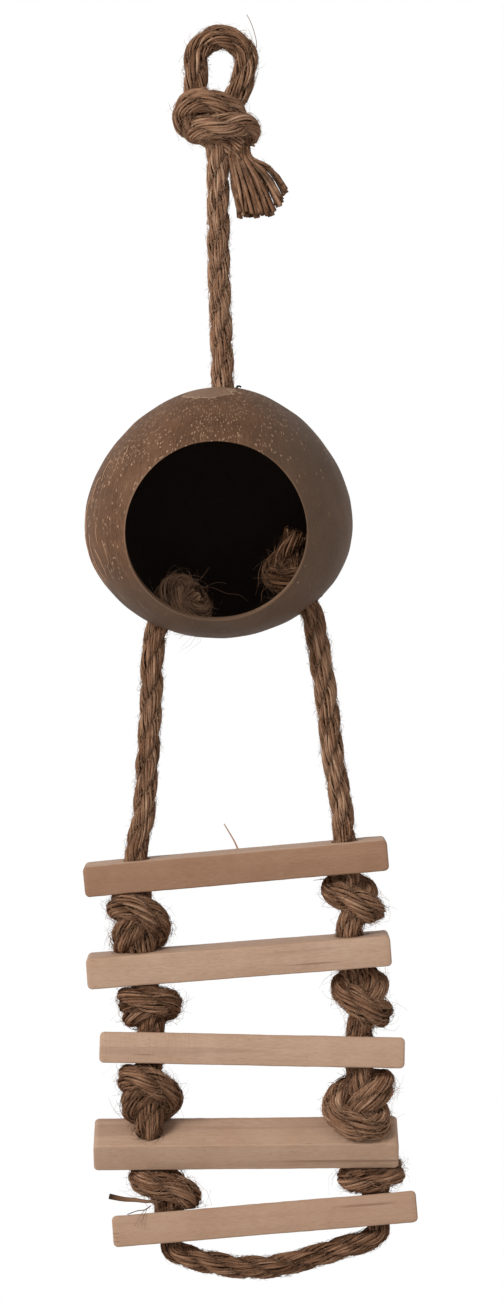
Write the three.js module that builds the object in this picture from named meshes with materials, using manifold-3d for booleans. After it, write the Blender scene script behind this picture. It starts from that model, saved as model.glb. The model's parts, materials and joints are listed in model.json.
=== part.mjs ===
// Coconut bird house: a drilled coconut shell on a jute hanging rope, with a ladder of five wooden rungs.
// Millimetres, +Z up, -Y to the front. The origin is where a hook bears in the top of the hanging eye.

import * as THREE from 'three';
import { mergeVertices } from 'three/addons/utils/BufferGeometryUtils.js';
import Module from 'manifold-3d';

const wasm = await Module();
wasm.setup();

// Clearances
const SEAT_GAP = 0.3; // between a piece and what it rests on
const FLEX_GAP = 0.9; // between the domed and the hollowed rope end at a place where the rope bends

// Rope
const ROPE_DIAMETER = 10;
const EYE_ROPE_DIAMETER = 11.2; // the lay opens where the rope bends round the eye
const KNOT_ROPE_DIAMETER = 9; // a tightened knot squeezes the rope
const ROPE_HOLE_PLAY = 2.6; // the holes in the rungs and the shell are drilled this much wider than the rope
const ROPE_OFFSET = -0.7; // the rope leaves the eye's knot left of the hook's seat

// Hanging eye and its knot
const EYE_LENGTH = 22.3; // from the hook's seat down to the top of the knot
const EYE_WIDTH = 22.8; // between the middles of the rope on its two sides
const KNOT_HEIGHT = 22;
const KNOT_WIDTH = 39;
const KNOT_DEPTH = 26;
const KNOT_OFFSET = -1; // the knot's middle sits left of the hook's seat
const KNOT_TURNS = 1.9;
const KNOT_START = 110; // degrees, where the first turn sets out
const TAIL_LENGTH = 31;
const TAIL_YARN_DIAMETER = 3.4;
const TAIL_OFFSET = 10.6; // the frayed end hangs beside the rope

// Coconut shell
const HANGING_LENGTH = 153.8; // from the hook's seat down to the top of the shell
const SHELL_WIDTH = 122;
const SHELL_CROWN = 61.9; // from the widest girth up to the top
const SHELL_BASE = 52.6; // from the widest girth down to the bottom
const SHELL_WALL = 3.8;
const SHELL_LOBE = 0.8; // a coconut is faintly three-sided
const SHELL_OFFSET = -1.1; // the shell's axis sits left of the hook's seat
const CROWN_POWER = 1.84; // under 2 draws the shoulders in
const CROWN_LEAN = 2.2; // the top of the nut leans to the right
const HANGING_HOLE_OFFSET = 2.6; // drilled a little right of the shell's axis
const DOOR_DIAMETER = 80.4;
const DOOR_TILT = 14.7; // degrees, the door looks slightly down
const DOOR_RISE = 5.4; // the door's axis passes this far above the girth's middle
const STOPPER_WIDTH = 27;
const STOPPER_HEIGHT = 16;
const STOPPER_END = 2; // rope left over below the stopper knot

// Ladder holes in the shell, in from its widest edge and back from its axis, and the knots that stop the rope
const LADDER_HOLES = {
  left: {
    side: -1, edge: 34.1, y: 3, tail: { x: 7, z: 7 },
    knot: { x: 10.5, y: -3, z: 13.5, width: 25, depth: 22, height: 20 },
  },
  right: {
    side: 1, edge: 19.6, y: -4, tail: { x: 5, z: 20 },
    knot: { x: -9.5, y: 1, z: 15, width: 21, depth: 22, height: 22 },
  },
};

// Rungs
const RUNG_LENGTH = 138;
const RUNG_DEPTH = 21;
const RUNG_HEIGHT = 14;
const RUNG_EDGE = 2; // rounding of the sanded edges
const HOLE_INSET = 21.5; // from the end of a rung to the middle of its hole
const LADDER_DROP = 103.6; // from the bottom of the shell down to the middle of the first rung
const NECK_HEIGHT = 2.4; // where the rope bends, above the mouth of the hole it comes out of
const SHELL_NECK = 3.4; // the same below the ladder holes of the shell

// Each rung: how far its middle lies below the one above and right of the hook's seat, how it has settled
// (degrees: right end up, front edge down), and how far it rocks either way on the rope above it. The holes
// are drilled off the rung's middle. The knots under it are given by width, turn and free rope below them.
const RUNGS = [
  {
    pitch: 0, offset: 7.5, roll: 5.1, rock: 2, rockMin: -30, rockMax: 30, holeShift: 2.7,
    left: { width: 29, depth: 25, neck: 2.6, turn: 15 },
    right: { width: 28, depth: 24, neck: 6, turn: -10 },
  },
  {
    pitch: 42.4, offset: 8.8, roll: 4.4, rock: 3, rockMin: -25, rockMax: 25, holeShift: 3.7,
    left: { width: 30, depth: 24, neck: 2.6, turn: 25 },
    right: { width: 28, depth: 25, neck: 4, turn: -5 },
  },
  {
    pitch: 41.2, offset: 14.8, roll: -1.1, rock: -7, rockMin: -20, rockMax: 25, holeShift: 1.3,
    left: { width: 30, depth: 25, neck: 5, turn: 10 },
    right: { width: 32, depth: 25, neck: 2.6, turn: -20 },
  },
  {
    pitch: 42.4, offset: 12.1, roll: 0.5, rock: 29, rockMin: -40, rockMax: 10, holeShift: 3.7,
    left: { width: 30, depth: 23, neck: 2.6, turn: 20 },
    right: { width: 30, depth: 23, neck: 2.6, turn: 0 },
  },
  { pitch: 34.5, offset: 20.7, roll: 4.8, rock: -10, rockMin: -10, rockMax: 40, holeShift: 4 },
];

// Rope's way round the hanging eye: across in half widths, and up in lengths of the eye below the hook's seat
// or in rope radii above it
const EYE_ROUTE = [
  [-0.79, -1.18], [-0.96, -0.67], [-0.94, -0.27], [-0.6, 0.41], [0.04, 1],
  [0.68, 0.36], [1.04, -0.27], [1.03, -0.58], [0.77, -0.9], [0.53, -1.18],
];

// Tips of the frayed yarns: right, back and share of the tail's length down
const TAIL_TIPS = [[-3.3, -2, 1], [0, -4, 1.02], [4, 1, 1], [8, -3, 0.97], [10.5, 3, 0.86], [17, -1, 0.6]];

// Rope's turn below the last rung: place between the two holes (-1 left to 1 right) and drop below the rung
const BOTTOM_TURN = [
  [-0.98, 3.4], [-0.84, 7], [-0.64, 10.3], [-0.32, 13.7], [0.02, 14.2],
  [0.32, 11.8], [0.61, 8.8], [0.84, 6.6], [0.98, 3.4],
];

// Overhand knot as a route in rope diameters about its middle: x across, y to the back, z up. The rope comes
// down inside, turns behind, crosses the front upwards, goes round the back and dives down through the turn.
const OVERHAND = [
  [-0.40, 0.10, 0.90], [-0.45, 0.15, 0], [-0.35, 0.10, -0.80], [0, 0.55, -1.05], [0.70, 0.55, -0.85],
  [1.05, -0.15, -0.55], [0.65, -0.85, -0.20], [0, -1.05, 0.10], [-0.75, -0.75, 0.45], [-1.00, 0.10, 0.65],
  [-0.50, 0.85, 0.60], [0.35, 0.85, 0.70], [0.75, 0.25, 0.95], [0.50, -0.20, 0.50], [0.45, -0.20, -0.10],
  [0.35, -0.15, -0.70],
];
const OVERHAND_SPAN = new THREE.Vector3(2.05, 1.9, 2);

const ROPE_RADIUS = ROPE_DIAMETER / 2;
const EYE_ROPE_RADIUS = EYE_ROPE_DIAMETER / 2;
const ROPE_HOLE_DIAMETER = ROPE_DIAMETER + ROPE_HOLE_PLAY;
const HOLE_SPACING = RUNG_LENGTH - 2 * HOLE_INSET;
const ROPE_SIDES = 7;
const ROPE_STEP = 6.7; // length of one straight facet along a bent rope
const SHELL_ROWS = 6; // facets of the shell from its girth to each pole
const SHELL_FACETS = 30; // and round it
const FAR = 400; // longer than the whole object, for cuts that run right through

const vec = (x, y, z) => new THREE.Vector3(x, y, z);
const radians = THREE.MathUtils.degToRad;
const shift = (x, y, z) => new THREE.Matrix4().makeTranslation(x, y, z);

// A closed geometry as a solid that can be joined and cut
function solid(geometry, place = new THREE.Matrix4()) {
  const bare = geometry.clone().applyMatrix4(place);
  bare.deleteAttribute('normal');
  bare.deleteAttribute('uv');
  const merged = mergeVertices(bare);
  const vertProperties = merged.getAttribute('position').array;
  const triVerts = new Uint32Array(merged.index.array);
  return new wasm.Manifold(new wasm.Mesh({ numProp: 3, vertProperties, triVerts }));
}

function mesh(name, body, material) {
  const { vertProperties, triVerts } = body.getMesh();
  const geometry = new THREE.BufferGeometry();
  geometry.setAttribute('position', new THREE.BufferAttribute(vertProperties, 3));
  geometry.setIndex(new THREE.BufferAttribute(triVerts, 1));
  geometry.computeVertexNormals();
  const piece = new THREE.Mesh(geometry, material.clone());
  piece.name = name;
  return piece;
}

// Part of a longer curve
class Stretch extends THREE.Curve {
  constructor(curve, from, to) {
    super();
    this.curve = curve;
    this.from = from;
    this.to = to;
  }

  getPoint(t, target = new THREE.Vector3()) {
    return target.copy(this.curve.getPointAt(this.from + (this.to - this.from) * t));
  }
}

// Rope along a curve. A knotted rope presses on itself, so it is swept in several lengths that are joined.
function rope(points, { radius = ROPE_RADIUS, lengths = 1, sides = ROPE_SIDES, step = ROPE_STEP } = {}) {
  const curve = new THREE.CatmullRomCurve3(points);
  const corners = Array.from({ length: sides }, (_, i) => {
    const angle = (2 * Math.PI * i) / sides;
    return new THREE.Vector2(radius * Math.cos(angle), radius * Math.sin(angle));
  });
  const steps = Math.max(1, Math.round(curve.getLength() / lengths / step));
  const overlap = lengths > 1 ? 0.25 / (steps * lengths) : 0;
  const pieces = Array.from({ length: lengths }, (_, i) => {
    const from = Math.max(0, i / lengths - overlap);
    const to = Math.min(1, (i + 1) / lengths + overlap);
    const extrudePath = new Stretch(curve, from, to);
    const section = new THREE.Shape(corners);
    return solid(new THREE.ExtrudeGeometry(section, { steps, extrudePath, bevelEnabled: false }));
  });
  return pieces.reduce((whole, piece) => whole.add(piece));
}

function ball(centre, radius) {
  return solid(new THREE.SphereGeometry(radius, 8, 6), shift(centre.x, centre.y, centre.z));
}

// The hollow in a rope end, round the dome of the rope that it bends on
const hollow = (pivot) => ball(pivot, ROPE_RADIUS + FLEX_GAP);

// A straight length of rope with domed ends
function domed(from, to) {
  const axis = to.clone().sub(from);
  const turn = new THREE.Quaternion().setFromUnitVectors(vec(0, 1, 0), axis.clone().normalize());
  const middle = from.clone().add(to).multiplyScalar(0.5);
  const length = new THREE.CapsuleGeometry(ROPE_RADIUS, axis.length(), 3, ROPE_SIDES, 1);
  return solid(length, new THREE.Matrix4().compose(middle, turn, vec(1, 1, 1)));
}

// Everything above a level
function above(level, place = new THREE.Matrix4()) {
  return solid(new THREE.BoxGeometry(FAR, FAR, FAR), place.clone().multiply(shift(0, 0, level + FAR / 2)));
}

function below(level, place = new THREE.Matrix4()) {
  return solid(new THREE.BoxGeometry(FAR, FAR, FAR), place.clone().multiply(shift(0, 0, level - FAR / 2)));
}

// A drilled hole from one point to another
function drill(from, to, diameter, sides = 16) {
  const axis = to.clone().sub(from);
  const turn = new THREE.Quaternion().setFromUnitVectors(vec(0, 1, 0), axis.clone().normalize());
  const middle = from.clone().add(to).multiplyScalar(0.5);
  const bit = new THREE.CylinderGeometry(diameter / 2, diameter / 2, axis.length(), sides);
  return solid(bit, new THREE.Matrix4().compose(middle, turn, vec(1, 1, 1)));
}

// An overhand knot of a given size, between the rope that comes in and the rope that goes out
function overhand({ middle, across, up, turn = 0, width, depth, height, from, to }) {
  const back = up.clone().cross(across).normalize();
  const side = back.clone().cross(up);
  const room = vec(width, depth, height).subScalar(KNOT_ROPE_DIAMETER);
  const size = room.clone().divide(OVERHAND_SPAN);
  const frame = new THREE.Matrix4().makeBasis(side, back, up).setPosition(middle);
  const route = OVERHAND.map((point) => {
    const local = vec(...point).applyAxisAngle(vec(0, 0, 1), radians(turn)).multiply(size);
    return local.applyMatrix4(frame);
  });
  const core = new THREE.SphereGeometry(0.5, 7, 5).rotateX(Math.PI / 2);
  core.scale(1.2 * room.x, 1.2 * room.y, height);
  return rope([from, ...route, to], { radius: KNOT_ROPE_DIAMETER / 2, lengths: 3 }).add(solid(core, frame));
}

const jute = new THREE.MeshStandardMaterial({ color: 0x725643, roughness: 0.95, metalness: 0 });
const husk = new THREE.MeshStandardMaterial({ color: 0x70543f, roughness: 0.7, metalness: 0 });
const timber = new THREE.MeshStandardMaterial({ color: 0xb49278, roughness: 0.8, metalness: 0 });

const birdHouse = new THREE.Group();

// Levels down the hanging rope
const eyeKnotTop = -EYE_LENGTH;
const eyeKnotBottom = eyeKnotTop - KNOT_HEIGHT;
const shellTop = -HANGING_LENGTH;
const girth = shellTop - SHELL_CROWN;
const shellBottom = girth - SHELL_BASE;
const ropeBend = vec(ROPE_OFFSET, 0, eyeKnotBottom - NECK_HEIGHT);
const houseBend = vec(SHELL_OFFSET + HANGING_HOLE_OFFSET, 0, shellTop + NECK_HEIGHT);

// Hanging eye
const eyeRoute = EYE_ROUTE.map(([x, z]) => {
  return vec((x * EYE_WIDTH) / 2, 0, z * (z > 0 ? EYE_ROPE_RADIUS : EYE_LENGTH));
});
const eye = rope(eyeRoute, { radius: EYE_ROPE_RADIUS, sides: 10, step: 4.5 }).subtract(below(eyeKnotTop));
birdHouse.add(mesh('hanging_loop', eye, jute));

// Knot below the eye: the rope makes two turns round the two legs of the eye
const wrapPoints = Array.from({ length: 20 }, (_, i) => {
  const along = i / 19;
  const angle = radians(KNOT_START + along * KNOT_TURNS * 360);
  const x = KNOT_OFFSET + (KNOT_WIDTH / 2 - EYE_ROPE_RADIUS) * Math.cos(angle);
  const y = (KNOT_DEPTH / 2 - EYE_ROPE_RADIUS) * Math.sin(angle);
  const z = eyeKnotTop - EYE_ROPE_RADIUS * 0.9 - along * (KNOT_HEIGHT - EYE_ROPE_RADIUS * 1.8);
  return vec(x, y, z);
});
const knotMiddle = (eyeKnotTop + eyeKnotBottom) / 2;
const ropeLeg = domed(ropeBend, vec(KNOT_OFFSET, 0, knotMiddle));
const tailTop = vec(TAIL_OFFSET, 0, eyeKnotBottom);
const tailLeg = domed(tailTop, vec(eyeRoute[eyeRoute.length - 1].x, 0, eyeKnotTop));
const knotCore = new THREE.SphereGeometry(0.5, 10, 6);
knotCore.scale(KNOT_WIDTH * 0.8, KNOT_DEPTH * 0.7, KNOT_HEIGHT * 1.1);
const knotLevel = above(eyeKnotTop - SEAT_GAP);
const eyeKnot = rope(wrapPoints, { radius: EYE_ROPE_RADIUS, lengths: 3 })
  .add(tailLeg)
  .add(solid(knotCore, shift(KNOT_OFFSET, 0, knotMiddle)))
  .subtract(below(eyeKnotBottom))
  .add(ropeLeg)
  .subtract(knotLevel);
birdHouse.add(mesh('hanging_knot', eyeKnot, jute));

// Frayed end of the rope: its yarns spread from the knot
const yarns = TAIL_TIPS.map(([x, y, reach]) => {
  const top = tailTop.clone().add(vec(x * 0.12, y * 0.5, 0));
  const tip = tailTop.clone().add(vec(x, y, -TAIL_LENGTH * reach));
  const middle = top.clone().lerp(tip, 0.45).add(vec(-x * 0.06, 0, 0));
  return rope([top, middle, tip], { radius: TAIL_YARN_DIAMETER / 2, sides: 6, step: 8 });
});
const tailCore = rope([tailTop, tailTop.clone().add(vec(1, 0, -9))], { step: FAR });
const tailLevel = above(eyeKnotBottom - SEAT_GAP);
const tail = yarns.reduce((whole, yarn) => whole.add(yarn), tailCore).subtract(tailLevel);
birdHouse.add(mesh('frayed_tail', tail, jute));

// Straight rope down to the shell, hollowed at both ends where it bends
const drop = rope([ropeBend, houseBend], { step: FAR, sides: 10 })
  .subtract(hollow(ropeBend))
  .subtract(hollow(houseBend));
birdHouse.add(mesh('hanging_rope', drop, jute));

// Outline of the shell, and the same outline further in
function shellForm(inset) {
  const half = SHELL_WIDTH / 2 - inset;
  const outline = [];
  for (let i = -SHELL_ROWS; i <= SHELL_ROWS; i += 1) {
    const angle = (Math.PI / 2) * (i / SHELL_ROWS);
    const power = i > 0 ? 2 / CROWN_POWER : 1;
    const reach = (i > 0 ? SHELL_CROWN : SHELL_BASE) - inset;
    const r = Math.abs(i) === SHELL_ROWS ? 0 : half * Math.cos(angle) ** power;
    outline.push(new THREE.Vector2(r, Math.sign(i) * reach * Math.abs(Math.sin(angle)) ** power));
  }
  const form = new THREE.LatheGeometry(outline, SHELL_FACETS).rotateX(Math.PI / 2);
  const place = form.getAttribute('position');
  for (let i = 0; i < place.count; i += 1) {
    const lobe = 1 + (SHELL_LOBE / half) * Math.cos(3 * Math.atan2(place.getY(i), place.getX(i)) + 0.5);
    const rise = Math.max(0, place.getZ(i)) / SHELL_CROWN;
    place.setXY(i, place.getX(i) * lobe + CROWN_LEAN * rise ** 2, place.getY(i) * lobe);
  }
  return solid(form, shift(SHELL_OFFSET, 0, girth));
}

// Where a ladder hole comes out of the shell's underside, and the way straight out of the wall there
function holeMouth({ side, edge, y }) {
  const half = SHELL_WIDTH / 2;
  const x = side * (half - edge);
  const z = -SHELL_BASE * Math.sqrt(1 - (x * x + y * y) / (half * half));
  const out = vec(x / (half * half), y / (half * half), z / (SHELL_BASE * SHELL_BASE)).normalize();
  return { mouth: vec(SHELL_OFFSET + x, y, girth + z), out };
}

const doorWay = vec(0, -Math.cos(radians(DOOR_TILT)), -Math.sin(radians(DOOR_TILT)));
const doorAxis = vec(SHELL_OFFSET, 0, girth + DOOR_RISE);
const doorInside = doorAxis.clone().addScaledVector(doorWay, SHELL_WIDTH / 8);
const doorCut = drill(doorInside, doorAxis.clone().addScaledVector(doorWay, SHELL_WIDTH), DOOR_DIAMETER, 48);
const hangingHole = drill(houseBend.clone().setZ(girth), houseBend, ROPE_HOLE_DIAMETER);
const hollowForm = shellForm(SHELL_WALL);
const seatForm = shellForm(SHELL_WALL + SEAT_GAP);
let shell = shellForm(0).subtract(hollowForm).subtract(doorCut).subtract(hangingHole);

// Ladder rope inside the shell: a knot on each side, and the rope out through the wall
const ladderTop = {};
for (const [hand, hole] of Object.entries(LADDER_HOLES)) {
  const { mouth, out } = holeMouth(hole);
  const inside = mouth.clone().addScaledVector(out, -SHELL_WALL * 2);
  const bend = mouth.clone().addScaledVector(out, SHELL_NECK);
  const { knot, tail: end } = hole;
  const middle = mouth.clone().add(vec(knot.x, knot.y, knot.z));
  const outside = mouth.clone().addScaledVector(out, SHELL_WALL * 2);
  shell = shell.subtract(drill(inside, outside, ROPE_HOLE_DIAMETER));
  const lump = overhand({
    middle,
    across: vec(1, 0, 0),
    up: inside.clone().sub(middle).normalize(),
    ...knot,
    from: inside,
    to: middle.clone().add(vec(end.x, 0, end.z)),
  });
  const stop = lump.intersect(seatForm).add(domed(bend, inside)).add(domed(inside, middle));
  birdHouse.add(mesh(`inner_knot_${hand}`, stop, jute));
  ladderTop[hand] = bend;
}
birdHouse.add(mesh('coconut_shell', shell, husk));

// Stopper knot under the top of the shell
const stopperOffset = Math.abs(HANGING_HOLE_OFFSET - CROWN_LEAN);
const stopperReach = stopperOffset + KNOT_ROPE_DIAMETER; // its top bears on the shell out to here
const crownInside = SHELL_CROWN - SHELL_WALL;
const reachShare = stopperReach / (SHELL_WIDTH / 2 - SHELL_WALL - SHELL_LOBE);
const stopperTop = girth + crownInside * (1 - reachShare ** CROWN_POWER) ** (1 / CROWN_POWER) - SEAT_GAP;
const stopperMiddle = houseBend.clone().setZ(stopperTop - STOPPER_HEIGHT / 2);
const stopper = overhand({
  middle: stopperMiddle,
  across: vec(1, 0, 0),
  up: vec(0, 0, 1),
  width: STOPPER_WIDTH,
  depth: STOPPER_WIDTH,
  height: STOPPER_HEIGHT + 2 * SEAT_GAP,
  from: houseBend.clone().setZ(stopperTop + 2),
  to: houseBend.clone().setZ(stopperTop - STOPPER_HEIGHT - STOPPER_END),
}).subtract(above(stopperTop)).add(domed(houseBend, stopperMiddle));
birdHouse.add(mesh('stopper_knot', stopper, jute));

// Where each rung sits, its two holes along it and the bend of the rope above each hole
let rungLevel = shellBottom - LADDER_DROP;
const ladder = RUNGS.map((rung) => {
  rungLevel -= rung.pitch;
  const turn = new THREE.Euler(radians(rung.rock), -radians(rung.roll), 0, 'ZYX');
  const place = new THREE.Matrix4().makeRotationFromEuler(turn).setPosition(rung.offset, 0, rungLevel);
  const at = (x, z) => vec(x, 0, z).applyMatrix4(place);
  const holes = { left: rung.holeShift - HOLE_SPACING / 2, right: rung.holeShift + HOLE_SPACING / 2 };
  return { ...rung, turn, place, at, holes };
});
const top = RUNG_HEIGHT / 2;
const bendLevel = top + NECK_HEIGHT;

// Rung: a planed strip with sanded edges and two drilled holes, lying along X about its middle
function rungForm(holes) {
  const width = RUNG_DEPTH / 2 - RUNG_EDGE;
  const height = RUNG_HEIGHT / 2 - RUNG_EDGE;
  const section = new THREE.Shape();
  section.absarc(width, height, RUNG_EDGE, 0, Math.PI / 2);
  section.absarc(-width, height, RUNG_EDGE, Math.PI / 2, Math.PI);
  section.absarc(-width, -height, RUNG_EDGE, Math.PI, 1.5 * Math.PI);
  section.absarc(width, -height, RUNG_EDGE, 1.5 * Math.PI, 2 * Math.PI);
  const strip = new THREE.ExtrudeGeometry(section, {
    depth: RUNG_LENGTH - 2 * RUNG_EDGE,
    curveSegments: 2,
    bevelThickness: RUNG_EDGE,
    bevelSize: RUNG_EDGE * 0.8,
    bevelOffset: -RUNG_EDGE * 0.8,
    bevelSegments: 1,
  });
  strip.translate(0, 0, RUNG_EDGE - RUNG_LENGTH / 2).rotateX(Math.PI / 2).rotateZ(Math.PI / 2);
  return Object.values(holes).reduce(
    (body, x) => body.subtract(drill(vec(x, 0, -RUNG_HEIGHT), vec(x, 0, RUNG_HEIGHT), ROPE_HOLE_DIAMETER)),
    solid(strip),
  );
}

// Everything below the bend of a rung's ropes, at both ends of its rocking
function rockingSweep({ place, rockMin, rockMax }) {
  return [rockMin, rockMax].map((angle) => {
    const swing = new THREE.Matrix4().makeRotationX(radians(angle)).setPosition(0, 0, bendLevel);
    return below(0, place.clone().multiply(swing));
  });
}

ladder.forEach((rung, i) => {
  const piece = mesh(`rung_${i + 1}`, rungForm(rung.holes), timber);
  piece.position.setFromMatrixPosition(rung.place);
  piece.rotation.copy(rung.turn);
  birdHouse.add(piece);
});

// Upper stretches of the ladder rope, from the shell to the first rung
for (const hand of ['left', 'right']) {
  const start = ladderTop[hand];
  const end = ladder[0].at(ladder[0].holes[hand], bendLevel);
  const stretch = rope([start, end], { step: FAR, sides: 10 }).subtract(hollow(start)).subtract(hollow(end));
  birdHouse.add(mesh(`ladder_rope_${hand}`, stretch, jute));
}

// Rope through each rung, with the knot that carries the rung and a hollow for the rope of the next rung
ladder.slice(0, -1).forEach((rung, i) => {
  const next = ladder[i + 1];
  const roof = above(-top - SEAT_GAP, rung.place);
  const sweep = rockingSweep(next);
  for (const hand of ['left', 'right']) {
    const { neck, ...size } = rung[hand];
    const bend = rung.at(rung.holes[hand], bendLevel);
    const mouth = rung.at(rung.holes[hand], -top);
    const nextMouth = next.at(next.holes[hand], top);
    const nextBend = next.at(next.holes[hand], bendLevel);
    const up = mouth.clone().sub(nextMouth).normalize();
    const height = mouth.distanceTo(nextMouth) - neck;
    const middle = mouth.clone().addScaledVector(up, -height / 2);
    const lump = overhand({
      ...size,
      middle,
      across: vec(1, 0, 0),
      up,
      height: height + 2 * SEAT_GAP,
      from: rung.at(rung.holes[hand], 0),
      to: next.at(next.holes[hand], top - NECK_HEIGHT),
    });
    const seated = [roof, ...sweep].reduce((whole, cut) => whole.subtract(cut), lump);
    const through = domed(bend, rung.at(rung.holes[hand], -top - height / 2));
    birdHouse.add(mesh(`rung_knot_${i + 1}_${hand}`, seated.add(through).subtract(hollow(nextBend)), jute));
  }
});

// Rope's turn below the last rung, up through both of its holes
const last = ladder[ladder.length - 1];
const turnRoute = BOTTOM_TURN.map(([side, fall]) => {
  return last.at(last.holeShift + (side * HOLE_SPACING) / 2, -top - fall);
});
const turnEnds = ['left', 'right'].map((hand) => last.at(last.holes[hand], -top));
const turnBody = rope([turnEnds[0], ...turnRoute, turnEnds[1]], { sides: 8 });
const turnRise = ['left', 'right'].map((hand) => {
  return domed(last.at(last.holes[hand], bendLevel), last.at(last.holes[hand], -top - ROPE_RADIUS / 2));
});
const bottomLoop = turnBody.subtract(above(-top - SEAT_GAP, last.place)).add(turnRise[0]).add(turnRise[1]);
birdHouse.add(mesh('bottom_loop', bottomLoop, jute));

export default birdHouse;
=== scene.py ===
import json
import math

import bpy
import numpy as np
from mathutils import Matrix, Vector, noise


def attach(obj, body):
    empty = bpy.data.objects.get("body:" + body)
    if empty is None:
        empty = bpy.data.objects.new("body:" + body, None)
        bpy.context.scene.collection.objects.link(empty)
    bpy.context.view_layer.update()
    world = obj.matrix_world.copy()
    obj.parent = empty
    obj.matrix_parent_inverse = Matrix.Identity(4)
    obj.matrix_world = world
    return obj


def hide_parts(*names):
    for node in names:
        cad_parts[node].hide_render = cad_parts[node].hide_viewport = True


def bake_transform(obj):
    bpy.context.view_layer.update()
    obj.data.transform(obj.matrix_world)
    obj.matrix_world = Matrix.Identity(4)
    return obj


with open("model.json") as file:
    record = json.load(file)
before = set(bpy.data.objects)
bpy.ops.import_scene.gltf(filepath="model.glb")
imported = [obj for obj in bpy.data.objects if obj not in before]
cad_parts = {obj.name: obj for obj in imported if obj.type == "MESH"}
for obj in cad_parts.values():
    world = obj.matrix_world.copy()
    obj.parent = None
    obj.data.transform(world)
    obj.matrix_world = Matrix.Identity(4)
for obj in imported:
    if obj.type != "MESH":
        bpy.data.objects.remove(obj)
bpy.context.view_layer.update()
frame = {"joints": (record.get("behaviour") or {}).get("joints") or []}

# Coconut shell: a ripe nut with its husk torn off and its hard brown shell, some 4 mm thick, scraped nearly
# bare. A hole saw has cut the door in its front, tipped a little downwards, and three drilled holes take the
# ropes.
MM = 0.001
SHELL_HALF = 61 * MM
SHELL_CROWN = 61.9 * MM
SHELL_BASE = 52.6 * MM
SHELL_WALL = 3.8 * MM
SHELL_FACETS = 180
SHELL_LOBE = 0.8 * MM
SHELL_BUMP = 0.45 * MM
SHELL_MIDDLE = Vector((-1.1, 0, -215.7)) * MM
CROWN_POWER = 1.84
CROWN_LEAN = 2.2 * MM
DOOR_HALF = 40.2 * MM
DOOR_TILT = math.radians(14.7)
DOOR_RISE = 5.4 * MM
DOOR_FACETS = 144
HOLE_SAW_MIDDLE = 68.6 * MM
HOLE_SAW_LENGTH = 106.7 * MM
DRILL_LENGTH = 40 * MM
ROPE_HOLE_HALF = 6.3 * MM
HANGING_HOLE = 2.6 * MM
BARE_MIDDLE = Vector((-3.5, -15, 58.5)) * MM
BARE_HALF = Vector((11.5, 14, 5)) * MM
CREASE = math.radians(42)
LADDER_HOLES = {"left": (-26.9 * MM, 3 * MM), "right": (41.4 * MM, -4 * MM)}


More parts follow.
